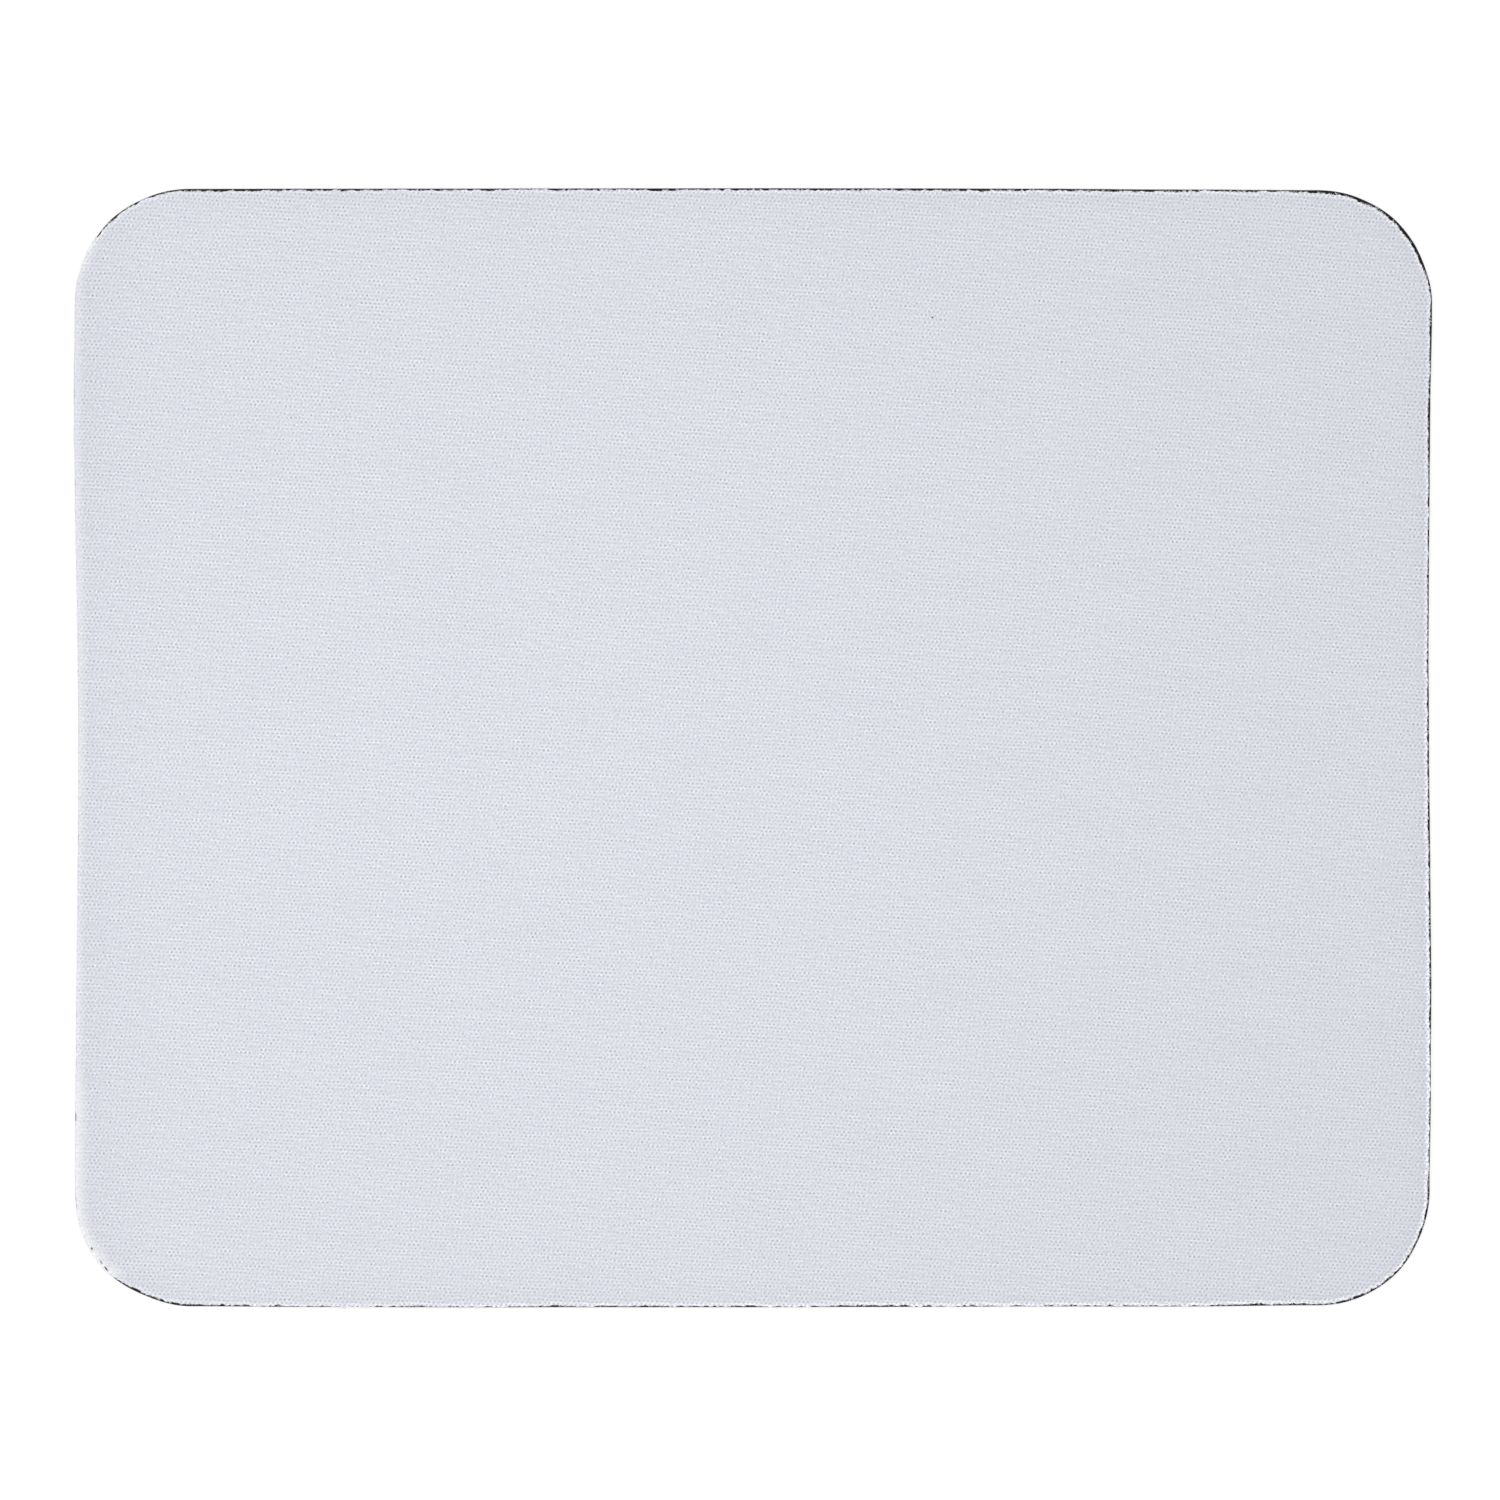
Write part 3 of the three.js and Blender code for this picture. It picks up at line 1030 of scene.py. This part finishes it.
def makeClothTop(setup, ragged):
    def undulation(place):
        start, growth = setup["calmBorder"]
        height = setup["undulation"] * clamped((insideBy(place.x, place.y) - start) / growth)
        return height * wobble(place, setup["undulationStretch"], setup["undulationSeed"])

    lower = rolledRings(clothZ, setup["lowerSteps"], ragged=ragged)
    upper = rolledRings(topZ, setup["rollSteps"], setup["draw"], ragged,
                        [undulation(place) for place, away in outline])
    cut = []
    for share, inward in setup["cutFace"]:
        insets = [rim + stray + setup["draw"] * share + inward for rim, stray in zip(rims, ragged)]
        height = clothZ - rollDrop + padShape["clothThickness"] * share
        cut.append(insetRing(insets, [height] * count))
    rings = lower + cut + upper[::-1]
    # Rings with fewer and fewer points ease the fine border into the coarse middle
    spots = []
    for inset, every in setup["easeIn"]:
        spots += [(place - away * inset)[:] for place, away in outline[::every]]
    spots += innerSpots(*setup["spots"])
    mesh = layeredMesh("clothTop", rings, hiddenSpots, spots,
                       lambda x, y: clothZ, lambda x, y: topZ + undulation(Vector((x, y))))
    smoothShade(mesh, setup["hardAngle"])

    # The material needs to know how far each point is from the cut, and how much its stretch of edge is
    # brightened by pale fibres and painted highlight
    inside = [insideBy(v.co.x, v.co.y) for v in mesh.vertices]
    brightRim = [0.0] * len(inside)
    for i in range(len(rings) * count):
        place = outline[i % count][0]
        fromFoot = math.dist(mesh.vertices[i].co[:2], place)
        inside[i] = max(0, (fromFoot - rims[i % count] - ragged[i % count]) / mm)
        brightRim[i] = rimBrightening[i % count]
    storeNumbers(mesh, "cutDistance", inside)
    storeNumbers(mesh, "rimFibresAndHighlight", brightRim)
    storeNumbers(mesh, "leftSide", [leftHighlightReach(v.co) for v in mesh.vertices])
    piece = addPiece("clothTop", mesh, materials["cloth"])
    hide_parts("cloth_top")
    return piece


clothTop = makeClothTop(clothSetup, raggedEdge)
print("cloth built:", len(clothTop.data.polygons), "faces")

fraySetup = {
    "seed": 11,
    "pitch": 0.74 * mm,  # one cut yarn to each loop of the knit
    "pitchSpread": (0.7, 1.3),
    "strands": (6, 9),
    "radius": (0.016 * mm, 0.036 * mm),
    "taper": 0.55,
    "root": (0.12 * mm, 0.50 * mm),  # how far inside the cut a strand leaves the cloth
    "rootDepth": 0.01 * mm,
    "sideways": 0.09 * mm,
    "reach": (-0.04 * mm, 0.38 * mm),  # how far past the cut it ends
    "reachSpread": (0.6, 1.1),
    "leftShortening": 0.6,
    "droopMm": (0.02, 0.28),  # how far below the cut's top it ends
    "arch": 0.05 * mm,
    "fan": 0.40,
    "sides": 3,
    "rings": 4,
    "hardAngle": 75,
}


# Points round a middle in the upright plane of a direction, one for each width
def roundPoints(middle, across, widths):
    points = []
    for i, width in enumerate(widths):
        angle = i / len(widths) * fullTurn
        points.append(middle + across * math.cos(angle) * width + Vector((0, 0, math.sin(angle) * width)))
    return points


# The points of a bent strand that thins to a rounded tip
def strandPoints(root, tip, radius, setup):
    points = []
    along = tip - root
    across = Vector((-along.y, along.x, 0)).normalized()
    for ring in range(setup["rings"]):
        share = ring / (setup["rings"] - 1)
        middle = root + along * share + Vector((0, 0, setup["arch"] * 4 * share * (1 - share)))
        width = radius * (1 - setup["taper"] * share ** 3)
        points += roundPoints(middle, across, [width] * setup["sides"])
    return points


# Each cut yarn fans out in a tuft of strands, from the cloth's face over the dark foot
def makeClothFray(setup):
    draws = random.Random(setup["seed"])
    cutZ = topZ - rollDrop
    points = []
    faces = []
    position = 0.0
    while position < count:
        index = int(position)
        place, away = outline[index]
        position += setup["pitch"] / padShape["step"] * draws.uniform(*setup["pitchSpread"])
        onward = Vector((-away.y, away.x))
        cut = rims[index] + raggedEdge[index]
        tuftReach = draws.uniform(*setup["reach"]) * (1 - setup["leftShortening"] * leftSide(place))
        for i in range(draws.randint(*setup["strands"])):
            inside = draws.uniform(*setup["root"])
            share = 1 - inside / rollWidths[index]
            rootZ = cutZ + rollDrop * (1 - share ** 2) - setup["rootDepth"]
            sideways = draws.gauss(0, setup["sideways"])
            root = place - away * (cut + inside) + onward * sideways
            swing = draws.gauss(0, setup["fan"]) * (inside + tuftReach)
            reach = tuftReach * draws.uniform(*setup["reachSpread"])
            tip = place - away * (cut - reach) + onward * (sideways + swing)
            tipZ = cutZ - draws.uniform(*setup["droopMm"]) * mm
            faces += tubeFaces(setup["rings"], setup["sides"], len(points))
            points += strandPoints(Vector((*root, rootZ)), Vector((*tip, tipZ)),
                                   draws.uniform(*setup["radius"]), setup)
    mesh = meshOf("clothFray", points, faces)
    smoothShade(mesh, setup["hardAngle"])
    piece = addPiece("clothFray", mesh, materials["yarn"])
    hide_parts("cloth_top")
    return piece


clothFray = makeClothFray(fraySetup)
print("yarn ends built:", len(clothFray.data.polygons), "faces")

crumbSetup = {
    "crumbs": (  # place, length and width in mm, and the way it points in degrees
        ((-112.25, -85.04), 0.52, 0.19, -62),
        ((-110.62, -87.36), 0.80, 0.11, -55),
        ((-109.80, -88.45), 0.95, 0.19, -52),
        ((-114.95, -62.76), 1.50, 0.11, 90),
        ((-114.55, 12.88), 0.30, 0.09, 90),
        ((30.41, 72.96), 0.30, 0.22, 20),
    ),
    "rings": 9,
    "sides": 8,
    "lumpiness": 0.35,
    "lumpSize": 0.2 * mm,
    "sunk": 0.3,  # how deep it is pressed into the fibres, in widths
    "hardAngle": 60,
}


# Crumbs of foam that the blade left on the cloth
def makeFoamCrumbs(setup):
    points = []
    faces = []
    rings = setup["rings"]
    sides = setup["sides"]
    for (x, y), length, width, turn in setup["crumbs"]:
        faces += tubeFaces(rings, sides, len(points))
        along = Vector((math.cos(math.radians(turn)), math.sin(math.radians(turn)), 0))
        across = Vector((-along.y, along.x, 0))
        # It lies on the cloth, near enough where that rolls down
        down = max(0, 1 - insideBy(x * mm, y * mm) * mm / padShape["rollWidth"])
        height = topZ - rollDrop * down ** 2 + width * mm * (0.5 - setup["sunk"])
        middle = Vector((x * mm, y * mm, height))
        for ring in range(rings):
            slope = (ring + 0.5) / rings * math.pi
            spot = middle - along * math.cos(slope) * length / 2 * mm
            lumps = [setup["lumpiness"] * wobble(spot, setup["lumpSize"], x + side / sides * fullTurn)
                     for side in range(sides)]
            wide = width / 2 * mm * math.sin(slope)
            points += roundPoints(spot, across, [wide * (1 + lump) for lump in lumps])
    mesh = meshOf("foamCrumbs", points, faces)
    smoothShade(mesh, setup["hardAngle"])
    storeNumbers(mesh, "footDistance", [foamSetup["beyondFootBand"]] * len(points))
    piece = addPiece("foamCrumbs", mesh, materials["foam"])
    return piece


foamCrumbs = makeFoamCrumbs(crumbSetup)
print("foam crumbs built:", len(foamCrumbs.data.polygons), "faces")

floorSetup = {
    "holeInset": 0.8 * mm,  # under the pad the floor is open, so that the underside can be seen and lit
    "every": 8,  # how few of the outline's points
    "spreads": (0, 0.01, 0.05, 0.2, 0.8, 6.0),
}


# A wide sheet with a hole under the pad, in rings that widen outwards
def makeFloor(setup):
    rim = [place - away * setup["holeInset"] for place, away in outline[::setup["every"]]]
    points = [(*(point + point.normalized() * spread), 0) for spread in setup["spreads"] for point in rim]
    faces = [face[::-1] for face in bandFaces(len(setup["spreads"]), len(rim))]
    mesh = meshOf("tableTop", points, faces)
    mesh.materials.append(materials["floor"])
    floor = bpy.data.objects.new("tableTop", mesh)
    scene.collection.objects.link(floor)


makeFloor(floorSetup)
scene.view_settings.view_transform = "Standard"
print("floor laid")
